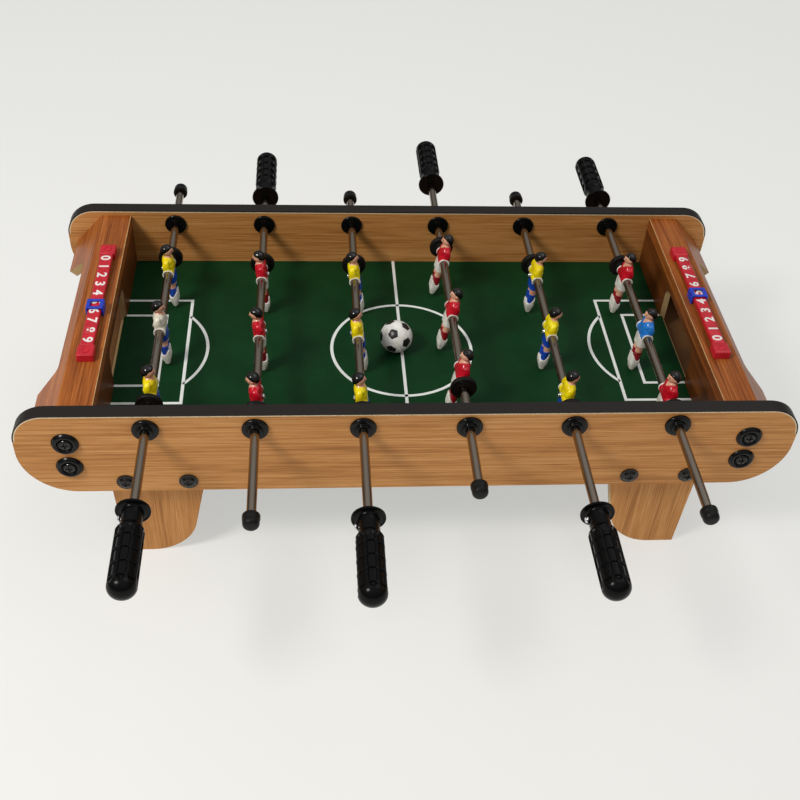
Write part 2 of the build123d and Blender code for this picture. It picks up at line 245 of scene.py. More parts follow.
def through(stations, count):
    """Smooth rows through the stations, by the cubic curve whose slope at each one follows its two
    neighbours."""
    s = np.array(stations, float)
    t = np.linspace(0, len(s) - 1, count)
    i = np.clip(t.astype(int), 0, len(s) - 2)
    f = (t - i)[:, None]
    p, q, r, u = (s[np.clip(i + k, 0, len(s) - 1)] for k in (-1, 0, 1, 2))
    square, cube = 2 * p - 5 * q + 4 * r - u, 3 * q - p - 3 * r + u
    return 0.5 * (2 * q + (r - p) * f + square * f ** 2 + cube * f ** 3)


def stacked(stations, rows=24, columns=40):
    """A grid over level ovals. A station is (z, x, y, half size in x, half size in y, squareness): the
    point at angle a lies at half size times cos a, or sin a, raised to 2 / squareness."""
    z, x, y, half_x, half_y, square = (v[:, None] for v in through(stations, rows).T)
    a = np.linspace(0, 2 * np.pi, columns, endpoint=False)
    c, s = np.cos(a), np.sin(a)
    return np.stack([x + half_x * np.sign(c) * np.abs(c) ** (2 / square),
            y + half_y * np.sign(s) * np.abs(s) ** (2 / square), z + 0 * a], -1)


def rounded_box(half_x, half_y, corner):
    """The outline of a rectangle with eased corners."""
    return eased([(half_x, -half_y), (half_x, half_y), (-half_x, half_y), (-half_x, -half_y)], corner)


def prism(half_x, half_y, levels, corner=1.0):
    """A rounded rectangle raised through levels of (z, how far it is drawn in), which round its upper
    edges."""
    base = rounded_box(half_x, half_y, corner)
    shrink = [np.array([(half_x - inset) / half_x, (half_y - inset) / half_y]) for _, inset in levels]
    rows = [np.column_stack([base * k, np.full(len(base), z)]) for (z, _), k in zip(levels, shrink)]
    return surface(np.array(rows))


def moved(skin, offset=(0, 0, 0), turn_z=0.0):
    """A skin turned about the Z axis by an angle in degrees, then shifted."""
    c, s = np.cos(radians(turn_z)), np.sin(radians(turn_z))
    return skin[0] @ np.array([[c, s, 0], [-s, c, 0], [0, 0, 1]]) + np.array(offset), *skin[1:]


# %% [markdown]
# ## Camera, floor and light
# The table is seen from above and in front of it, a little to the left. The floor is a plain pale sheet
# that glows a little, as a sweep lit from below does, so that shadows on it stay pale. The main lamp stands
# in front and to the left, small enough to leave crisp highlights on the black plastic, and a weak one
# fills in from the right. The sky is bright overhead and dim at the horizon, as a room is, which gives
# round steel its dark edges.

# %% Camera, floor and light
scene = bpy.context.scene
scene.view_settings.view_transform = "Standard"
camera = bpy.data.objects.new("camera", bpy.data.cameras.new("camera"))
camera.data.lens = 49.54
camera.data.sensor_width = 36.0
camera.location = (-0.0914, -0.8189, 0.8306)
camera.rotation_euler = (0.825, -0.05, -0.065)
scene.collection.objects.link(camera)
scene.camera = camera

paper, tree, shader, where = new_material("pale lit floor", Base_Color=srgb("#A8A8A6"), Roughness=0.8,
    Specular_IOR_Level=0.1, Emission_Color=srgb("#F1F1EE"), Emission_Strength=0.56)
bump(tree, shader, streaks(tree, where.outputs["Object"], (6, 6, 6)), 0.05)
span = np.linspace(-2.5, 2.5, 11)
sheet = np.stack([*np.meshgrid(span, span, indexing="ij"), np.zeros((11, 11))], -1)
corner = (np.arange(10)[:, None] * 11 + np.arange(10)).reshape(-1, 1)
floor_mesh = bpy.data.meshes.new("floor")
floor_mesh.from_pydata(sheet.reshape(-1, 3).tolist(), [], (corner + np.array([0, 11, 12, 1])).tolist())
floor_mesh.materials.append(paper)
floor = bpy.data.objects.new("floor", floor_mesh)
scene.collection.objects.link(floor)
floor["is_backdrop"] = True

sky = scene.world or bpy.data.worlds.new("sky")
scene.world = sky
sky.use_nodes = True
overhead = add(sky.node_tree, "SeparateXYZ", {0: add(sky.node_tree, "TexCoord").outputs["Generated"]})
ceiling = add(sky.node_tree, "ValToRGB", {0: overhead.outputs["Z"]},
    stops=[(0.15, srgb("#6E7072")), (0.75, srgb("#F6F7F8"))])
sky.node_tree.links.new(ceiling.outputs[0], sky.node_tree.nodes["Background"].inputs["Color"])
sky.node_tree.nodes["Background"].inputs["Strength"].default_value = 0.56


def lamp(name, place, aim, size, power, colour):
    """A square area lamp at a place, pointed at an aim, all in metres."""
    made = bpy.data.objects.new(name, bpy.data.lights.new(name, "AREA"))
    made.data.size, made.data.energy, made.data.color = size, power, srgb(colour)[:3]
    made.location = place
    made.rotation_euler = (Vector(aim) - Vector(place)).to_track_quat("-Z", "Y").to_euler()
    scene.collection.objects.link(made)


lamp("window", (-1.2, -0.8, 1.65), (0, 0.05, 0.1), 0.5, 25, "#FFFBF4")
lamp("room", (0.9, 0.3, 2.0), (0, 0, 0.1), 1.4, 6, "#FFFFFF")
print("camera at", [round(v, 3) for v in camera.location])

# %% [markdown]
# ## Boards: woodgrain paper on fibreboard
# The boards are MDF, which is wood fibre pressed with glue, covered with printed woodgrain paper. The paper
# has long streaks, fine dark pores and a satin varnish. Where a board is sawn the raw fibreboard shows,
# pale and matt. One function makes each wood: it paints paper on the faces that `face` picks and raw board
# elsewhere.

# %% Boards
def woodgrain(name, along, tones, pore, gloss, face, raw="#C9A878", shade="#A98C64", line=None):
    """Printed woodgrain. along is the grain's direction, tones run from dark to light, face gives the mask
    of the papered faces and line, if any, the mask of a thin line along an edge in raw board colour, which on
    the rails is also a painted highlight."""
    made, tree, shader, coordinates = new_material(name, Specular_IOR_Level=0.22)
    where = coordinates.outputs["Object"]
    broad = streaks(tree, where, [160 if i == along else 13 for i in range(3)], 4, 0.6, 0.6)
    fine = streaks(tree, where, [95 if i == along else 0.9 for i in range(3)], 3, 0.75, 0.3)
    pores = streaks(tree, where, [22 if i == along else 0.6 for i in range(3)], 2, 0.5)
    mixed = maths(tree, "MULTIPLY_ADD", fine, 0.55, maths(tree, "MULTIPLY", broad, 0.26))
    paper = add(tree, "ValToRGB", {0: mixed},
        stops=[(0.29, srgb(tones[0])), (0.405, srgb(tones[1])), (0.51, srgb(tones[2]))])
    dark = add(tree, "ValToRGB", {0: pores}, stops=[(0.60, grey(0)), (0.74, grey(pore))])
    printed = add(tree, "Mix", {0: dark.outputs[0], 6: paper.outputs[0], 7: srgb(tones[0])}, data_type="RGBA",
        blend_type="MULTIPLY")
    fibres = streaks(tree, where, (0.9, 0.9, 0.9), 4, 0.7)
    core = add(tree, "ValToRGB", {0: fibres}, stops=[(0.3, srgb(shade)), (0.55, srgb(raw))])
    mask = face(tree, coordinates)
    if line is not None:
        mask = maths(tree, "MULTIPLY", mask, maths(tree, "SUBTRACT", 1.0, line(tree, coordinates)))
    colour = add(tree, "Mix", {0: mask, 6: core.outputs[0], 7: printed.outputs[2]}, data_type="RGBA")
    tree.links.new(colour.outputs[2], shader.inputs["Base Color"])
    shine = add(tree, "MapRange", {"Value": mask, "To Min": 0.85, "To Max": gloss})
    worn = maths(tree, "MULTIPLY_ADD", fine, 0.10, shine.outputs[0])
    tree.links.new(worn, shader.inputs["Roughness"])
    bump(tree, shader, pores, 0.04, 0.35)
    return made


def facing(direction, least=0.9):
    """A mask of the faces whose normal lies along a direction, either way."""
    def mask(tree, coordinates):
        along = add(tree, "VectorMath", {0: coordinates.outputs["Normal"], 1: direction},
            operation="DOT_PRODUCT")
        return maths(tree, "GREATER_THAN", maths(tree, "ABSOLUTE", along.outputs["Value"]), least)
    return mask


def near_edge(x, z, width):
    """A mask of the thin band along the two long edges at x and -x, height z, in mm, painted in raw board
    colour: it shows the raw edge and is also a painted highlight along the rounded edge. Noise breaks it up a
    little, as paper does where it is trimmed."""
    def mask(tree, coordinates):
        split = add(tree, "SeparateXYZ", {0: coordinates.outputs["Object"]})
        far = maths(tree, "SUBTRACT", maths(tree, "ABSOLUTE", split.outputs["X"]), x * MM)
        away = maths(tree, "MAXIMUM", far, maths(tree, "SUBTRACT", z * MM, split.outputs["Z"]))
        ragged = streaks(tree, coordinates.outputs["Object"], (4, 9, 4))
        return maths(tree, "LESS_THAN", away, maths(tree, "MULTIPLY", ragged, width * 2 * MM))
    return mask


table_low, table_high = box_mm("side_board_edging")
rail_low, rail_high = box_mm("right_top_rail")
tape, end_radius = 1.2, 29.0        # thickness of the edging, radius of a board's upper ends


def under_tape(width):
    """A mask of the line just inside the tape's outline, where the paper stops short: the distance to the
    rounded outline is the length of what lies past the corner's centre, less the corner's radius."""
    def mask(tree, coordinates):
        split = add(tree, "SeparateXYZ", {0: coordinates.outputs["Object"]})
        past_x = maths(tree, "SUBTRACT", maths(tree, "ABSOLUTE", split.outputs["X"]),
            (table_high[0] - end_radius) * MM)
        past_z = maths(tree, "SUBTRACT", split.outputs["Z"], (table_high[2] - end_radius) * MM)
        over = add(tree, "CombineXYZ", {0: maths(tree, "MAXIMUM", past_x, 0.0),
                1: maths(tree, "MAXIMUM", past_z, 0.0)})
        away = add(tree, "VectorMath", {0: over.outputs[0]}, operation="LENGTH")
        line = maths(tree, "GREATER_THAN", away.outputs["Value"], (end_radius - tape - width) * MM)
        return maths(tree, "MULTIPLY", line, maths(tree, "GREATER_THAN", split.outputs["Z"],
                table_low[2] * MM))
    return mask


oak_tones = ("#9A6431", "#C48648", "#D9A266")
slope_out = Vector((31.3, 0, 28.8)).normalized()


def either_slope(tree, coordinates):
    """A mask of the faces that lie along either sloping end board."""
    return maths(tree, "MAXIMUM", *(facing((side * slope_out.x, 0, slope_out.z))(tree, coordinates)
            for side in (-1, 1)))


walnut_tones = ("#64300F", "#985220", "#BA7135")
shaded_walnut_tones = ("#45210B", "#693612", "#824C22")     # painted shade: a darker copy of the walnut paper for the shaded goal walls
every_face, no_face = -1.0, 2.0     # least values that all faces pass, and that none does


def dress(material, *names):
    """Give CAD nodes a material of ours in every one of their slots."""
    for name in names:
        mesh = nodes[name].data
        if not mesh.materials:
            mesh.materials.append(material)
        for number in range(len(mesh.materials)):
            mesh.materials[number] = material


dress(woodgrain("oak paper on MDF, long grain", 0, oak_tones, 0.30, 0.42, facing((0, 1, 0)), raw="#EBD9B6",
        line=under_tape(1.1)), "front_side_board", "back_side_board")
dress(woodgrain("oak paper on MDF, upright grain", 2, oak_tones, 0.35, 0.45, facing((0, 1, 0)),
        raw="#D8BE93"), *(f"leg_{row}_{side}" for row in ("front", "back") for side in ("left", "right")))
# The pale band along the rails' inner edges is raw board colour, and also a painted highlight of the rounded
# edge.
dress(woodgrain("walnut paper on MDF, rails", 1, walnut_tones, 0.4, 0.36, facing((0, 1, 0), every_face),
        line=near_edge(rail_low[0], rail_high[2], 0.5)), "left_top_rail", "right_top_rail")
# Painted shade: the goal walls take the darker copy of the walnut paper, standing for the shade they lie in.
dress(woodgrain("walnut paper on MDF, goal walls in painted shade", 1, shaded_walnut_tones, 0.4, 0.36, facing((1, 0, 0))),
    "left_goal_wall", "right_goal_wall")
dress(woodgrain("walnut paper on MDF, slopes", 1, walnut_tones, 0.4, 0.34, either_slope),
    "left_end_slope", "right_end_slope")
# The trays are brown board, and darker still as painted shade: it stands for the deep shade behind the goal
# walls.
dress(woodgrain("brown fibreboard, darkened as painted shade", 1, walnut_tones, 0.0, 0.8, facing((0, 1, 0), no_face), raw="#6E4C2C",
        shade="#553820"), "left_ball_tray", "right_ball_tray")
print("end slopes face", [round(v, 3) for v in slope_out], "rail top at", round(rail_high[2], 1), "mm")

# %% [markdown]
# ## Black edge tape
# The top edge of each side board is covered by a strip of black ABS tape, pressed on with hot glue. Its
# face is embossed with a faint grain along its length, which spreads the highlight into a soft grey sheen.

# %% Black edge tape
edge_tape, tree, shader, where = new_material("black ABS edge tape", Base_Color=srgb("#1D1815"), IOR=1.52,
    Specular_IOR_Level=0.28)
grain = streaks(tree, where.outputs["Object"], (18, 0.9, 0.9), 4, 0.7)
rough(tree, shader, grain, 0.42, 0.62)
bump(tree, shader, grain, 0.08, 0.6)
dress(edge_tape, "side_board_edging")

# %% [markdown]
# ## The playing field
# The field is a hardboard sheet printed dark green, and the white markings are printed over it. Here the
# print is a film a tenth of a millimetre thick, so that its edges stay crisp. Every marking is a path given
# a width.

# %% The playing field
green, tree, shader, where = new_material("green printed hardboard", IOR=1.5, Specular_IOR_Level=0.1)
mottle = streaks(tree, where.outputs["Object"], (40, 40, 40), 6, 0.65)
speck = streaks(tree, where.outputs["Object"], (0.8, 0.8, 0.8), 3, 0.6)
coloured(tree, shader, mottle, (0.3, "#0A3016"), (0.7, "#103C1E"))
rough(tree, shader, mottle, 0.38, 0.55)
bump(tree, shader, speck, 0.05, 0.5)
dress(green, "pitch_board")

white_ink, tree, shader, where = new_material("white screen ink", Roughness=0.5)
flecks = streaks(tree, where.outputs["Object"], (1.2, 1.2, 1.2), 5, 0.7)
coloured(tree, shader, flecks, (0.25, "#B9C4BE"), (0.42, "#E9EDEA"))

field_low, field_high = box_mm("pitch_board")
field_y = (field_low[1] + field_high[1]) / 2
field_top = field_high[2]
line_width, ink_thick = 3.0, 0.12
wall_in, board_in = 275.0, 147.6    # the field's visible half length and half width


def marking(path, closed=False):
    """A printed line: a flat strip whose cross-section, a low rectangle, is carried along a path of
    (x, y)."""
    path = np.array(path, float)
    ahead = np.roll(path, -1, 0) - path
    behind = path - np.roll(path, 1, 0)
    if not closed:
        ahead[-1], behind[0] = behind[-1], ahead[0]
    ahead, behind = (v / np.linalg.norm(v, axis=1, keepdims=True) for v in (ahead, behind))
    both = ahead + behind
    side = np.column_stack([-both[:, 1], both[:, 0]]) / (1 + (ahead * behind).sum(1))[:, None]
    section = [(-0.5, -0.2), (0.5, -0.2), (0.5, ink_thick), (-0.5, ink_thick)]
    rows = [np.column_stack([path + side * across * line_width + [0, field_y],
            np.full(len(path), field_top + up)]) for across, up in section]
    return *surface(np.stack(rows, 1), ring=closed), white_ink


def arc(x, y, radius, start, end, count=48):
    """Points on a circle, angles in degrees."""
    a = np.radians(np.linspace(start, end, count))
    return np.column_stack([x + radius * np.cos(a), y + radius * np.sin(a)])


markings = [marking([(0, -board_in), (0, board_in)]), marking(arc(0, 0, 69.5, 0, 356, 90), closed=True)]
for side in (-1, 1):
    for depth, half in ((211, 77.5), (235, 53)):
        markings.append(marking([(side * wall_in, half), (side * depth, half), (side * depth, -half),
                (side * wall_in, -half)]))
    bow = arc(side * 266, 0, 75, -42.8, 42.8)
    bow[:, 0] = side * 266 - side * (bow[:, 0] - side * 266)
    markings.append(marking(bow))
piece("pitch_markings", markings, "root")

# %% [markdown]
# ## Mouldings, screws and rods: their materials
# Black parts are injection-moulded ABS, a little orange-peeled where the mould was blasted. Rubber is
# duller and greyer. Screws are black phosphated or zinc plated steel. The rods are drawn steel tube: their
# fine scratches run lengthwise, and the metal shows mostly what stands around it, so it looks brown between
# wooden boards; that brown is also painted into the steel's own colour, a painted reflection.

# %% Mouldings, screws and rods: their materials
def moulding(name, colour, low, high, grain=0.7, depth=0.03, ior=1.5, tint=None, specular=0.5):
    """A moulded or painted surface: roughness wanders between low and high, and a fine grain catches the
    light."""
    made, tree, shader, coordinates = new_material(name, Base_Color=srgb(colour), IOR=ior,
        Specular_IOR_Level=specular)
    where = coordinates.outputs["Object"]
    cloudy = streaks(tree, where, (9, 9, 9), 4, 0.6)
    rough(tree, shader, cloudy, low, high)
    if tint:
        coloured(tree, shader, cloudy, (0.35, tint), (0.6, colour))
    bump(tree, shader, streaks(tree, where, (grain,) * 3, 3, 0.6), depth, 0.5)
    return made


def metal(name, colour, low, high, grain):
    """Bare metal with scratches of the given grain (x, y, z) in mm."""
    made, tree, shader, coordinates = new_material(name, Base_Color=srgb(colour), Metallic=1.0)
    scratches = streaks(tree, coordinates.outputs["Object"], grain, 4, 0.7)
    rough(tree, shader, scratches, low, high)
    bump(tree, shader, scratches, 0.02, 0.5)
    return made


black_abs = moulding("black ABS moulding", "#0B0B0B", 0.12, 0.24, specular=0.2)
grip_plastic = moulding("black polypropylene grip", "#0A0A0A", 0.14, 0.28, grain=1.2, depth=0.05,
    specular=0.12)
rubber = moulding("black rubber", "#121110", 0.36, 0.52, grain=0.5, depth=0.06, ior=1.52, specular=0.18)
black_steel = metal("black phosphated steel", "#3A3938", 0.12, 0.24, (0.6, 0.6, 0.6))
zinc = metal("zinc plated steel", "#DADADC", 0.16, 0.3, (0.5, 0.5, 0.5))
# Painted reflection: the steel's colour is tinted brown for the wooden boards it mirrors.
rod_steel = metal("drawn steel tube", "#968A7C", 0.1, 0.2, (0.35, 45, 0.35))
dress(rod_steel, *(f"rod_{number}_tube" for number in range(1, 7)))

# %% [markdown]
# ## Where each rod is
# The CAD nodes say it: the tube's middle gives the axis, the figures' middle gives how far the rod is
# pushed, and the tips of the boots give how far it is turned. A player is drawn once, upright and facing +X
# about the rod's axis, and `on_rod` stands it up on its rod.

# %% Where each rod is
def middle(node):
    """The middle of a CAD node's box, in mm."""
    low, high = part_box(node)
    return np.array((low + high) / 2) / MM


def feet_direction(number):
    """Which way the boots point from the rod's axis: the mean of the figures' farthest points."""
    axis = middle(f"rod_{number}_tube")
    points = np.array([vertex.co for vertex in nodes[f"rod_{number}_figures"].data.vertices]) / MM - axis
    points[:, 1] = 0
    far = np.linalg.norm(points, axis=1)
    mean = points[far > 0.995 * far.max()].mean(axis=0)
    return mean / np.linalg.norm(mean)


rods = {}
for number in range(1, 7):
    axis = middle(f"rod_{number}_tube")
    axis[1] = middle(f"rod_{number}_figures")[1]
    faces_right = number % 2 == 1
    up = -feet_direction(number)
    ahead = np.array([up[2], 0, -up[0]]) * (1 if faces_right else -1)
    handle_front = middle(f"rod_{number}_handle")[1] < axis[1]
    rods[number] = {"axis": axis, "up": up, "ahead": ahead, "across": np.cross(up, ahead),
        "handle_side": -1 if handle_front else 1}
    print("rod", number, "axis", axis.round(1), "boots swung", round(float(np.degrees(np.arcsin(-up[0]))), 1))


def on_rod(skin, number, along=0.0):
    """Stand a skin, drawn facing +X, on a rod at a distance along it from the middle figure."""
    rod = rods[number]
    turn = np.stack([rod["ahead"], rod["across"], rod["up"]])
    return skin[0] @ turn + rod["axis"] + [0, along, 0], *skin[1:]


def rod_piece(number, name, skins, node, part=""):
    """A piece that rides on a rod, or on its carriage, and stands for one of its CAD nodes."""
    piece(f"rod_{number}_{name}", skins, f"rod_{number}{part}", [f"rod_{number}_{node}"])


# %% [markdown]
# ## Bushes and their nuts
# Each rod runs through a black plastic bush in each board. The bush is turned or moulded round: a flat
# flange with a fine bead at its rim and a short collar. Inside the board a smooth round nut holds it.

# %% Bushes and their nuts
front_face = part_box("front_side_board")[0].y / MM
back_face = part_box("back_side_board")[1].y / MM
bore = 4.05
bush_profile = eased([(bore, -15.4), (5.95, -15.4), (5.95, -0.2), (11.5, -0.2), (11.5, 1.9), (10.9, 2.7),
        (10.2, 2.4), (9.6, 2.9), (7.6, 3.0), (7.0, 2.6), (6.4, 3.0), (6.3, 4.6), (5.7, 5.2), (bore, 5.2)],
    0.35)
nut_profile = eased([(6.05, -15.4), (10.2, -15.4), (11.0, -14.7), (11.0, -13.0), (6.05, -13.0)], 0.3)


def on_boards(skin, x, z):
    """The same turned skin on the front board, its +Y turned to face out, and on the back board."""
    return [moved(skin, (x, front_face, z), 180), moved(skin, (x, back_face, z))]


bushes, nuts = [], []
for rod in rods.values():
    x, z = rod["axis"][0], rod["axis"][2]
    bushes += made_of(black_abs, *on_boards(turned(bush_profile, 72, ring=True), x, z))
    nuts += made_of(black_abs, *on_boards(turned(nut_profile, 72, ring=True), x, z))
piece("turned_rod_bushes", bushes, "root", ["rod_bushes"])
piece("round_bush_nuts", nuts, "root", ["rod_bush_nuts"])

# %% [markdown]
# ## Screws and cup washers
# Two screws in cup washers hold each end's tray cheek, and two pan-head screws hold each leg. A cross
# recess is pressed into the head: here the head's grid sinks where the point lies within one of two crossed
# bars.

# %% Screws and cup washers
def crossed(points, depth, arm, width, centre_y):
    """Sink a cross into a head that faces +Y: points within half a width of either bar, and within its
    arm, drop by a depth that fades over 0.3 mm."""
    x, y, z = points[..., 0], points[..., 1], points[..., 2]
    across, reach = np.minimum(np.abs(x), np.abs(z)), np.maximum(np.abs(x), np.abs(z))
    inside = np.clip((width / 2 - across) / 0.3, 0, 1) * np.clip((arm - reach) / 0.5, 0, 1)
    points[..., 1] = y - depth * inside * (y > centre_y)
    return points


def screw_head(profile, rows_between=6, columns=96):
    """A domed head with a cross recess, made fine enough to hold the cross. The profile's (radius, y)
    points run from the seat to the crown."""
    fine = np.column_stack([np.interp(np.linspace(0, len(profile) - 1, rows_between * len(profile)),
            np.arange(len(profile)), column) for column in np.array(profile, float).T])
    a = np.linspace(0, 2 * np.pi, columns, endpoint=False)
    grid = np.stack([fine[:, :1] * np.cos(a), fine[:, 1:] + 0 * a, fine[:, :1] * np.sin(a)], -1)
    arm, crown = 0.62 * fine[:, 0].max() if fine[:, 0].max() < 7 else 3.3, fine[-1, 1]
    return surface(crossed(grid, 1.3, arm, 1.3, crown - 1.4))


washer_low, washer_high = box_mm("screw_cup_washers")
cup_radius, leg_head_radius, leg_screws_x = 11.7, 8.4, (198.8, 253.0)
cup_profile = eased([(2.6, 0), (cup_radius, 0), (cup_radius, 0.9), (10.1, 2.9), (8.5, 3.4), (7.3, 2.9),
        (6.0, 1.2), (2.6, 1.2)], 0.5)
cup_screw = screw_head([(2.4, -1), (2.4, 1.2), (5.4, 1.2), (5.4, 2.2), (4.9, 2.9), (4.0, 3.3), (2.4, 3.65),
        (1.2, 3.77), (0.3, 3.8)])
leg_screw = screw_head([(2.4, -1), (2.4, 0), (8.0, 0), (8.4, 0.4), (8.4, 1.1), (8.0, 1.5), (6.7, 1.55),
        (6.0, 2.3), (5.0, 3.4), (3.4, 3.95), (1.8, 4.2), (0.3, 4.3)])
leg_screw_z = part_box("frame_screws")[0].z / MM + leg_head_radius
washers, screws = [], []
for side in (-1, 1):
    for z in (washer_low[2] + cup_radius, washer_high[2] - cup_radius):
        x = side * (washer_high[0] - cup_radius)
        washers += made_of(black_abs, *on_boards(turned(cup_profile, 72, ring=True), x, z))
        screws += made_of(black_steel, *on_boards(cup_screw, x, z))
    for x in leg_screws_x:
        screws += made_of(black_steel, *on_boards(leg_screw, side * x, leg_screw_z))
piece("moulded_cup_washers", washers, "root", ["screw_cup_washers"])
piece("cross_head_screws", screws, "root", ["frame_screws"])

# %% [markdown]
# ## Handles
# A handle is moulded over the rod's end: a thin flange that guards the fingers, a neck and a fluted grip.
# Eight narrow lands run along the grip, and thin ridges cross the flats between them, 13.2 mm apart. All of
# it is one turned surface whose radius changes with the angle and with the distance along it. A boss stands
# on the neck's side for the screw that pins the handle to its rod.

# %% Handles
handle_low, handle_high = box_mm("rod_2_handle")
handle_start = handle_low[1] - rods[2]["axis"][1]
handle_end = handle_high[1] - rods[2]["axis"][1]
grip_radius, neck_radius, nose_long = 11.6, 8.8, 10.0
grip_from, grip_to = handle_start + 23.0, handle_end - nose_long
ridge_pitch, first_ridge = 13.2, handle_start + 31.6
pin_along, pin_seat, player_seat = handle_start + 8.2, 9.6, 5.6


def soft_step(value, low, high):
    """0 below low, 1 above high, and a smooth S between them."""
    t = np.clip((value - low) / (high - low), 0, 1)
    return t * t * (3 - 2 * t)


def grip_relief(y, a):
    """Eight flats sunk 1.5 mm between narrow lands. Each ends in a round, since it stops sooner by the
    squared sine of four times the angle, and thin ridges 1.3 mm high cross it."""
    off_middle = np.sin(4 * a) ** 2
    window = soft_step(y - 3 * off_middle, grip_from - 2.5, grip_from + 1.5)
    window = window * (1 - soft_step(y + 4 * off_middle, grip_to - 0.5, grip_to + 3.0))
    flat = soft_step(np.cos(8 * a), -0.93, -0.5)
    from_ridge = np.abs((y - first_ridge + ridge_pitch / 2) % ridge_pitch - ridge_pitch / 2)
    ridge = (1 - soft_step(from_ridge, 0.2, 0.75)) * (y > first_ridge - 2) * (y < grip_to - 1)
    return window * flat * (-1.5 + 1.3 * ridge)


def sideways(skin):
    """A skin turned about Y becomes one about X, pointing to -X: where its player's back is."""
    return skin[0] @ np.array([[0, 1, 0], [-1, 0, 0], [0, 0, 1]]), skin[1]


dome = np.radians(np.linspace(0, 88, 14))
outline = [(radius, handle_start + along) for radius, along in (
    (4.05, 1.0), (4.05, 0.0), (13.3, 0.0), (14.0, 0.6), (14.0, 2.0), (13.6, 2.4), (13.0, 2.3), (12.6, 1.7),
    (10.2, 1.7),
    (9.0, 2.4), (8.5, 3.6), (8.5, 9.0), (neck_radius, 15.5), (9.0, 17.6), (9.8, 19.4), (11.0, 21.4))]
body_rows = [(grip_radius, y) for y in np.arange(grip_from, grip_to, 0.3)]
nose = [(grip_radius * np.cos(angle), grip_to + nose_long * np.sin(angle)) for angle in dome]
grip = turned(np.array(outline + body_rows + nose), 144, spread=grip_relief)
boss = sideways(turned([(0.3, 6.0), (3.4, 6.0), (3.4, pin_seat - 0.3), (3.1, pin_seat), (0.3, pin_seat)], 40))
for number, rod in rods.items():
    side = rod["handle_side"]
    skins = [moved(grip, rod["axis"], 180 if side < 0 else 0), on_rod(boss, number, side * pin_along)]
    rod_piece(number, "fluted_handle", made_of(grip_plastic, *skins), "handle")

# %% [markdown]
# ## Fixing screws
# Small zinc plated cross-head screws pin the players and the handle to each rod. They stand in one row,
# because all four holes in a rod are drilled from the same side.

# %% Fixing screws
figure_pitch = 90.0


def pin(seat):
    """A screw from the rod's axis out to its head, which sits on a seat that far out and is 2 mm high."""
    crown = [(2.7, 0.0), (2.75, 0.8), (2.5, 1.3), (1.9, 1.75), (1.0, 1.95), (0.2, 2.0)]
    profile = [(1.5, 0), (1.5, seat - 0.2)] + [(radius, seat + up) for radius, up in crown]
    return sideways(screw_head(profile, 6, 64))


for number, rod in rods.items():
    pins = [on_rod(pin(player_seat), number, place * figure_pitch) for place in (-1, 0, 1)]
    pins.append(on_rod(pin(pin_seat), number, rod["handle_side"] * pin_along))
    rod_piece(number, "cross_screws", made_of(zinc, *pins), "screws")

# %% [markdown]
# ## End caps and bumpers
# A domed rubber cap covers each rod's other end, with a wider lip where it meets the rod. On the rod,
# inside each board, sits a bumper: a rubber disc with a narrower collar that softens the blow when the
# players are slammed across.

# %% End caps and bumpers
cap_profile = eased([(4.0, 228.4), (4.0, 227.4), (6.9, 227.4), (7.3, 227.9), (7.3, 231.4), (7.1, 232.2),
        (6.9, 232.9),
        (6.9, 235.6), (6.5, 237.5), (5.3, 238.9), (3.2, 239.5), (0.3, 239.6)], 0.5, closed=False)
bumper_profile = eased([(4.05, 102.3), (6.6, 102.3), (7.0, 102.8), (7.0, 106.2), (10.6, 106.2), (11.2, 106.6),
        (12.0, 107.2), (12.0, 110.6), (11.2, 111.3), (10.0, 111.5), (9.2, 111.1), (7.6, 111.1),
        (6.8, 111.5), (4.05, 111.5)], 0.35)
for number, rod in rods.items():
    cap = moved(turned(cap_profile, 56), rod["axis"], 0 if rod["handle_side"] < 0 else 180)
    rod_piece(number, "domed_cap", made_of(rubber, cap), "end_cap")
    disc = turned(bumper_profile, 72, ring=True)
    discs = [moved(disc, rod["axis"], turn) for turn in (0, 180)]
    rod_piece(number, "rubber_bumpers", made_of(rubber, *discs), "bumpers", "_carriage")

# %% [markdown]
# ## Players: paints
# The players are moulded in one piece and painted by hand and by mask. Each paint is glossy and pools a
# little in the creases. Yellow plays towards +X, red towards -X, and the middle player at each end, the
# keeper, wears a shirt of its own.

# %% Players: paints
def paint(name, colour, shade, low=0.16, high=0.32):
    """Glossy toy enamel: the colour sinks to a deeper shade in soft clouds."""
    return moulding(name, colour, low, high, grain=1.6, depth=0.05, tint=shade)


paints = {name: paint(f"{label} enamel", colour, shade, *gloss) for name, label, colour, shade, *gloss in (
    ("hair", "black hair", "#0E0D0D", "#171413", 0.06, 0.16), ("skin", "skin", "#EFB79A", "#DE9C7E"),
    ("white", "white", "#EFEDE6", "#D9D5CA"), ("eye", "dark eye", "#201614", "#2A1C18"),
    ("yellow", "yellow", "#FFEC14", "#F0D208"), ("red", "red", "#D2142A", "#B50E22"),
    ("blue", "blue", "#1C4FC4", "#173FA6"), ("sky", "sky blue", "#2C86E2", "#2373C8"),
    ("cream", "cream", "#EAE4D2", "#D2CAB4"), ("maroon", "dark red", "#A01222", "#860E1B"))}
kits = {"yellow": ("yellow", "white", "blue", "blue"), "red": ("red", "white", "white", "maroon"),
    "yellow keeper": ("cream", "white", "blue", "blue"), "red keeper": ("sky", "white", "white", "maroon")}

# %% [markdown]
# ## Players: head and hair
# A head is a ball whose radius depends on direction: a nose, a brow, cheeks, a chin and ears are small
# bulges added to it. The hair is a second surface just outside the first, thick on top, with locks combed
# back, and thinning to nothing at the hairline. Eyes and brows are thin painted ovals laid on the face.

# %% Players: head and hair
head_at = np.array([0.8, 0.0, 21.6])


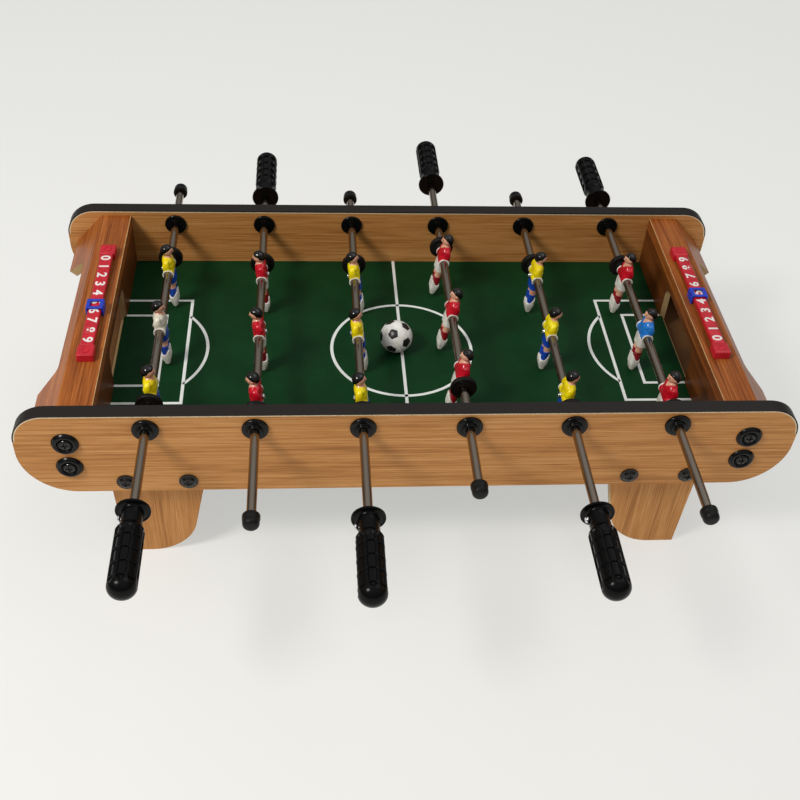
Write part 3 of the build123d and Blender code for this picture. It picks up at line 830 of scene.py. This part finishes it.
def head_radius(d):
    """The head's radius in mm along unit vectors d: an ellipsoid, and a bulge exp(-distance squared) a
    feature."""
    x, y, z = d[..., 0], d[..., 1], d[..., 2]
    base = 1 / np.sqrt((x / 5.7) ** 2 + (y / 4.9) ** 2 + (z / 5.9) ** 2)
    front = x > 0
    nose = 1.05 * np.exp(-((y / 0.13) ** 2 + ((z + 0.14) / 0.17) ** 2)) * front
    brow = 0.28 * np.exp(-((z - 0.2) / 0.12) ** 2 - (y / 0.6) ** 2) * front
    mouth = -0.18 * np.exp(-((y / 0.3) ** 2 + ((z + 0.47) / 0.05) ** 2)) * front
    chin = 0.5 * np.exp(-((y / 0.25) ** 2 + ((z + 0.72) / 0.2) ** 2)) * front
    ear = 0.75 * np.exp(-(((x + 0.02) / 0.14) ** 2 + ((z + 0.05) / 0.2) ** 2)) * (np.abs(y) > 0.5)
    return base + nose + brow + mouth + chin + ear - 0.5 * soft_step(-z, 0.35, 1.0)


def ball_directions(rows, columns, low=0.02, high=np.pi - 0.02):
    """Unit vectors over a ball: polar angle by row, from the crown down, and turn by column."""
    polar, turn = np.linspace(low, high, rows)[:, None], np.linspace(0, 2 * np.pi, columns, endpoint=False)
    return np.stack([np.sin(polar) * np.cos(turn), np.sin(polar) * np.sin(turn),
            np.cos(polar) + 0 * turn], -1)


def head_skin():
    d = ball_directions(44, 60)
    return surface(head_at + d * head_radius(d)[..., None])


def hair_skin(locks):
    """The hair: rows run from the crown, tilted back, out to the hairline and back under the skin."""
    rows, columns = 26, 72
    turn = np.linspace(0, 2 * np.pi, columns, endpoint=False)
    reach = np.radians(98 - 26 * np.cos(turn) + 9 * np.cos(2 * turn) + 3 * np.sin(5 * turn + locks))
    share = np.linspace(0.03, 1, rows)[:, None]
    polar = share * reach
    tilt = np.radians(-17)
    x, y, z = np.sin(polar) * np.cos(turn), np.sin(polar) * np.sin(turn), np.cos(polar) + 0 * turn
    d = np.stack([x * np.cos(tilt) + z * np.sin(tilt), y, z * np.cos(tilt) - x * np.sin(tilt)], -1)
    combed = 0.16 * np.sin(9 * turn + 5 * polar + locks) * np.sin(np.pi * share)
    combed = combed + 0.1 * np.sin(4 * turn - 7 * polar)
    thick = 0.95 * (1 - share ** 5) + combed * (1 - share ** 4) - 0.25 * share ** 8
    outer = head_at + d * np.minimum(head_radius(d) + thick, 6.28)[..., None]
    inner = head_at + d[::-1] * (head_radius(d[::-1])[..., None] - 0.5)
    return surface(np.concatenate([outer, inner]))


def face_mark(turn, rise, wide, high, bend=0.0):
    """A painted oval on the face, 0.06 mm proud: its middle at a turn and a rise in degrees, its size in
    mm."""
    share, around = np.linspace(1, 0.05, 4)[:, None], np.linspace(0, 2 * np.pi, 20, endpoint=False)
    across, up = share * np.cos(around) * wide / 10.4, share * np.sin(around) * high / 10.4
    up = up - bend * across ** 2 * 10
    turns, rises = np.radians(turn) + across, np.radians(rise) + up
    d = np.stack([np.cos(rises) * np.cos(turns), np.cos(rises) * np.sin(turns), np.sin(rises)], -1)
    top = head_at + d * (head_radius(d)[..., None] + 0.06)
    under = head_at + d[:1] * (head_radius(d[:1])[..., None] - 0.2)
    return surface(np.concatenate([under, top]))


# %% [markdown]
# ## Players: body
# The shirt is a stack of ovals from the hips to the neck, creased by shallow waves, with an arm lofted down
# each side. A round hub carries the rod, and a white hem rings each of its ends. Shorts, legs and socks are
# stacks too, and the boots are one kicking block, high in front and narrow at the bottom, with a groove
# between them.

# %% Players: body
def face_middles(skin):
    """The middles of a skin's faces."""
    return np.array([skin[0][face].mean(axis=0) for face in skin[1]])


def shirted(skin, shirt):
    """Faces on the chest near the neck are bare skin, in a V as deep as it is wide; the rest are shirt."""
    x, y, z = face_middles(skin).T
    bare = (x > 0.8) & (z > 11.2 + 1.15 * np.abs(y)) | (z > 15.9)
    return *skin, ([paints[shirt], paints["skin"]], bare.astype(int))


def halved(skin, upper, lower, height):
    """One paint above a height, another below it."""
    return *skin, ([paints[upper], paints[lower]], (face_middles(skin)[:, 2] < height).astype(int))


def creased(grid, depth, pitch, lean):
    """Push a grid in and out from its middle line by shallow waves that lean with the angle."""
    a = np.arctan2(grid[..., 1], grid[..., 0])
    wave = np.sin(2 * np.pi * grid[..., 2] / pitch + lean * np.cos(a) + 1.5 * np.sin(2 * a))
    grid[..., :2] *= (1 + depth * wave)[..., None]
    return grid


def limb(side, stations, rows=26):
    """A lofted limb, given for the +Y side and mirrored for the other."""
    return stacked(np.array(stations) * [1, 1, side, 1, 1, 1], rows, 32)


def player(kit, locks):
    """The skins of one player, about the rod's axis, facing +X."""
    shirt, hem, shorts, sock = kits[kit]
    torso = creased(stacked([(-3.5, 0, 0, 4.8, 9.2, 2.6), (0, 0.1, 0, 5.4, 9.9, 2.6),
            (4, 0.3, 0, 5.6, 9.4, 2.5), (8.5, 0.3, 0, 5.6, 8.9, 2.4), (12, 0.1, 0, 5.2, 8.6, 2.3),
            (14.2, 0, 0, 4.3, 7.0, 2.2),
            (15.7, 0.2, 0, 3.3, 4.4, 2.0), (16.8, 0.4, 0, 2.6, 3.0, 2.0)], 40, 64), 0.02, 5.2, 1.4)
    hub_middle = turned(eased([(4.1, -10.8), (5.3, -10.8), (5.4, 0), (5.3, 10.8), (4.1, 10.8)], 0.4), 48,
        ring=True)
    hem_ring = eased([(4.1, 10.3), (5.2, 10.3), (5.6, 10.8), (5.7, 11.6), (5.4, 12.0), (4.6, 12.0),
            (4.1, 11.7)], 0.35)
    skins = [shirted(surface(torso), shirt), halved(hub_middle, shirt, shorts, -2.0)]
    for side in (-1, 1):
        skins.append(halved(turned(hem_ring * [1, side], 48, ring=True), hem, shorts, -2.6))
        arm = creased(limb(side, [(15.0, -0.2, 6.4, 1.6, 1.8, 2), (13.6, -0.4, 8.0, 2.6, 2.3, 2),
                (10.5, -1.0, 9.2, 3.3, 2.3, 2.1), (7.0, -1.2, 9.6, 3.4, 2.1, 2.2),
                (3.5, 0.0, 9.8, 3.3, 2.0, 2.2), (0.0, 1.6, 9.7, 3.0, 1.8, 2.2),
                (-1.6, 2.0, 9.5, 2.0, 1.4, 2)]), 0.004, 4.0, 1.0)
        skins.append((*surface(arm), paints[shirt]))
        thigh = limb(side, [(-9.0, 0.2, 4.1, 4.1, 3.7, 2.2), (-14.0, 0.4, 4.1, 3.9, 3.5, 2.1),
                (-17.5, 0.4, 4.0, 3.5, 3.2, 2), (-20.0, 0.6, 3.9, 3.4, 3.1, 2),
                (-23.0, 0.2, 3.9, 3.1, 2.9, 2)], 18)
        calf = limb(side, [(-20.4, 0.3, 3.9, 3.1, 2.9, 2), (-21.0, 0.3, 3.9, 3.7, 3.35, 2),
                (-22.6, 0.3, 3.9, 3.7, 3.35, 2), (-23.3, 0.2, 3.9, 3.4, 3.2, 2),
                (-27.0, -0.1, 3.8, 3.5, 3.2, 2), (-31.0, 0, 3.7, 3.1, 3.0, 2),
                (-35.0, 0.2, 3.6, 2.8, 2.8, 2)])
        skins += [(*surface(thigh), paints["skin"]), (*surface(calf), paints[sock])]
    seat = stacked([(-1.5, 0, 0, 5.4, 9.4, 2.6), (-6.0, 0.2, 0, 5.7, 9.2, 2.6),
            (-10.5, 0.3, 0, 5.6, 8.8, 2.5),
            (-13.0, 0.3, 0, 5.5, 8.7, 2.5), (-13.6, 0.3, 0, 4.9, 8.0, 2.5)], 26, 64)
    cleft = np.exp(-(seat[..., 1] / 1.1) ** 2) * soft_step(-seat[..., 2], 3.0, 12.0)
    seat[..., 0] *= 1 - 0.3 * cleft
    boots = stacked([(-44.0, 0.3, 0, 1.6, 4.4, 3.0), (-43.5, 0.3, 0, 2.4, 5.1, 3.2),
            (-41.0, 0.2, 0, 3.2, 5.7, 3.4), (-37.0, 0.2, 0, 4.5, 6.5, 3.6), (-34.0, 0.2, 0, 4.8, 6.9, 3.6),
            (-31.6, 0.2, 0, 4.7, 6.9, 3.6), (-31.0, 0.2, 0, 4.0, 6.2, 3.2)], 34, 64)
    boots[..., 2] += 5.0 * soft_step(boots[..., 0], -1.0, 4.6) * soft_step(boots[..., 2], -36.5, -31.5)
    boots[..., 0] *= 1 - 0.22 * np.exp(-(boots[..., 1] / 0.8) ** 2) * soft_step(boots[..., 2], -43.0, -38.0)
    neck = stacked([(13.5, 0.2, 0, 2.6, 2.8, 2), (16.5, 0.5, 0, 2.5, 2.7, 2), (19.5, 0.7, 0, 2.6, 2.8, 2)],
        8, 32)
    skins += [(*surface(seat), paints[shorts]), (*surface(boots), paints["white"]),
        (*surface(neck), paints["skin"]),
        (*head_skin(), paints["skin"]), (*hair_skin(locks), paints["hair"])]
    for side in (-1, 1):
        skins += [(*face_mark(side * 23, 1, 1.0, 0.7), paints["eye"]),
            (*face_mark(side * 25, 14, 1.6, 0.4, 0.3), paints["eye"])]
    return skins


for number in rods:
    team = "yellow" if number % 2 else "red"
    painted = []
    for place in (-1, 0, 1):
        kit = team + (" keeper" if number in (1, 6) and place == 0 else "")
        painted += [on_rod(skin, number, place * figure_pitch) for skin in player(kit, rng.uniform(0, 6))]
    rod_piece(number, "painted_players", painted, "figures")

# %% [markdown]
# ## The ball
# A hard plastic ball, patterned like a football: the panels of a truncated icosahedron. Each point belongs
# to the panel whose plane it reaches first, twelve pentagons and twenty hexagons. The seams between panels
# sink a little, and an attribute says how deep inside a pentagon each point lies, so that the shader can
# paint it black.

# %% The ball
golden = (1 + 5 ** 0.5) / 2
corners = np.array([np.roll((0, a, b * golden), k) for k in range(3) for a in (-1, 1) for b in (-1, 1)])
corners /= np.linalg.norm(corners[0])
near = corners @ corners.T > 0.4
triples = [(i, j, k) for i in range(12) for j in range(i) for k in range(j)
    if near[i, j] and near[j, k] and near[i, k]]
centres = np.array([corners[list(t)].sum(axis=0) for t in triples])
centres /= np.linalg.norm(centres[0])
panels = np.concatenate([corners / 2.32744, centres / 2.26728])


def frame_of(first, second):
    """Three unit vectors as columns: along the first, square to it towards the second, and normal to both."""
    ahead = first / np.linalg.norm(first)
    normal = np.cross(ahead, second) / np.linalg.norm(np.cross(ahead, second))
    return np.stack([ahead, np.cross(normal, ahead), normal], axis=1)


neighbour = corners[np.flatnonzero(near[0])[1]]
ball_turn = frame_of(np.array([-0.264, -0.636, 0.724]), np.array([0.60, -0.75, 0.11])) @ \
    frame_of(corners[0], neighbour).T

d = ball_directions(120, 240, 0.01, np.pi - 0.01)
reach = np.sort((d @ ball_turn) @ panels.T, axis=-1)
seam = reach[..., -1] - reach[..., -2]
inside = ((d @ ball_turn) @ (corners / 2.32744).T).max(-1) - ((d @ ball_turn) @ (centres / 2.26728).T).max(-1)
ball_radius = (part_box("ball")[1].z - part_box("ball")[0].z) / MM / 2
groove = 0.22 * np.exp(-(seam / 0.006) ** 2)

ball_plastic, tree, shader, where = new_material("printed ball plastic", IOR=1.49)
panel = add(tree, "Attribute", attribute_name="inside_pentagon")
scuffs = streaks(tree, where.outputs["Object"], (3, 3, 3), 5, 0.7)
cream = add(tree, "ValToRGB", {0: scuffs}, stops=[(0.3, srgb("#D5D3CC")), (0.55, srgb("#F0EFEB"))])
black = add(tree, "ValToRGB", {0: scuffs}, stops=[(0.3, srgb("#141414")), (0.8, srgb("#2A2A2A"))])
edge = add(tree, "MapRange", {"Value": panel.outputs["Fac"], "From Min": 0.0, "From Max": 0.003})
both = add(tree, "Mix", {0: edge.outputs[0], 6: cream.outputs[0], 7: black.outputs[0]}, data_type="RGBA")
tree.links.new(both.outputs[2], shader.inputs["Base Color"])
rough(tree, shader, scuffs, 0.2, 0.4)
bump(tree, shader, scuffs, 0.03, 0.4)

ball_skin = surface(middle("ball") + d * (ball_radius - groove)[..., None])
ball = piece("football", [(*ball_skin, ball_plastic)], "ball", ["ball"], sharp=60)
mark = ball.data.attributes.new("inside_pentagon", "FLOAT", "POINT")
mark.data.foreach_set("value", np.concatenate([inside.ravel(), inside[[0, -1], 0]]).astype(np.float32))

# %% [markdown]
# ## Score bars
# Each goal end has a red moulded bar with raised white figures from 0 to 9, held by a block at each end. A
# blue marker clips round the bar and slides along it: two cheeks joined by a bridge at either end of a
# window, through which the score is read.

# %% Score bars
red_abs = moulding("red ABS moulding", "#CC1B2C", 0.26, 0.4, grain=0.9, tint="#B81426")
blue_abs = moulding("blue ABS moulding", "#1F3FC8", 0.25, 0.4, grain=0.9, tint="#1A34AC")
number_white = moulding("white number ink", "#F4F1EE", 0.35, 0.5, tint="#E0DCD6")
bars_low, bars_high = box_mm("score_bars")
bar_y, block = (bars_low[1] + bars_high[1]) / 2, 15.0
bar_x, rail_z = bars_high[0] - block / 2, bars_low[2]
half_run = (bars_high[1] - bars_low[1]) / 2


def soft_top(low, high):
    """The levels of a prism with softly rounded upper edges."""
    return [(low, 0.3), (low + 0.3, 0), (high - 0.9, 0), (high - 0.5, 0.12), (high - 0.15, 0.5), (high, 1.0)]


def lettering(text, height):
    """The points and faces of a word in the plain built-in typeface, as a mesh `height` mm tall lying
    flat."""
    curve = bpy.data.curves.new(text, "FONT")
    curve.body, curve.size, curve.extrude = text, height * 1.38, 0.18
    curve.align_x = curve.align_y = "CENTER"
    curve.offset = 0.3
    holder = bpy.data.objects.new(text, curve)
    scene.collection.objects.link(holder)
    bpy.context.view_layer.update()
    mesh = bpy.data.meshes.new_from_object(holder.evaluated_get(bpy.context.evaluated_depsgraph_get()))
    points = np.array([vertex.co for vertex in mesh.vertices])
    faces = [list(face.vertices) for face in mesh.polygons]
    bpy.data.objects.remove(holder)
    bpy.data.meshes.remove(mesh)
    bpy.data.curves.remove(curve)
    return points - [*(points[:, :2].min(0) + points[:, :2].max(0)) / 2, 0], faces


bar_skins, digits = [], []
digit_stretch = 1.2         # the numbers are a little wider than the typeface's
for side in (-1, 1):
    x = side * bar_x
    bar_skins.append((*moved(prism(5.9, half_run - block + 0.4, soft_top(3.2, 7.7), 0.6),
            (x, bar_y, rail_z)), red_abs))
    for end in (-1, 1):
        place = (x, bar_y + end * (half_run - block / 2), rail_z)
        bar_skins.append((*moved(prism(7.5, 7.5, soft_top(0.0, 7.9), 0.8), place), red_abs))
        ring = turned(eased([(2.6, 7.6), (4.0, 7.6), (4.0, 8.4), (3.3, 8.5), (2.6, 8.4)], 0.2), 48, ring=True)
        ring = ring[0] @ np.array([[1, 0, 0], [0, 0, 1], [0, -1, 0]]), ring[1]
        bar_skins.append((*moved(ring, place), red_abs))
    first, step = (61.8, -13.85) if side < 0 else (-63.0, 13.9)
    for value in range(10):
        points, faces = lettering(str(value), 9.0)
        shape = moved((points * [digit_stretch, 1, 1], faces), (0, 0, 0), side * 90)
        digits.append((*moved(shape, (x, bar_y + first + step * value, rail_z + 7.72)), number_white))
piece("moulded_score_bars", bar_skins, "root", ["score_bars"])
piece("score_numbers", digits, "root", sharp=30)


def beam(half_y, half_z, corner, length, columns=25):
    """A rounded bar along X: its section is a rounded rectangle in Y and Z."""
    base = rounded_box(half_y, half_z, corner)
    along = np.linspace(-length / 2, length / 2, columns)[:, None]
    return surface(np.stack([along + 0 * base[:, 0], base[:, 0] + 0 * along, base[:, 1] + 0 * along], -1))


for side, name in ((-1, "left"), (1, "right")):
    low, high = box_mm(f"{name}_score_marker")
    centre, half = (low + high) / 2, (high - low) / 2
    parts = []
    for cheek in (-1, 1):
        wall = prism(0.85, half[1], [(low[2], 0.25), (low[2] + 0.25, 0), (high[2] - 0.9, 0),
                (high[2] - 0.3, 0.2), (high[2] - 0.1, 0.45)], 0.7)
        parts.append((*moved(wall, (centre[0] + cheek * (half[0] - 0.85), centre[1], 0)), blue_abs))
        lip = prism(1.75, half[1] - 0.1, [(high[2] - 1.5, 0.1), (high[2] - 0.5, 0), (high[2] - 0.12, 0.3)],
            0.7)
        parts.append((*moved(lip, (centre[0] + cheek * (half[0] - 2.0), centre[1], 0)), blue_abs))
        bridge = beam(1.5, 0.7, 0.6, 2 * half[0] - 1.2)
        parts.append((*moved(bridge, (centre[0], centre[1] + cheek * (half[1] - 1.5), high[2] - 0.78)),
                blue_abs))
    piece(f"{name}_clip_marker", parts, f"{name}_score_marker", [f"{name}_score_marker"])

# %% [markdown]
# ## Finish
# The box of the finished object is printed, in metres.

# %% Finish
low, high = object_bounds()
print("finished", [round(v, 4) for v in (*low, *high)])
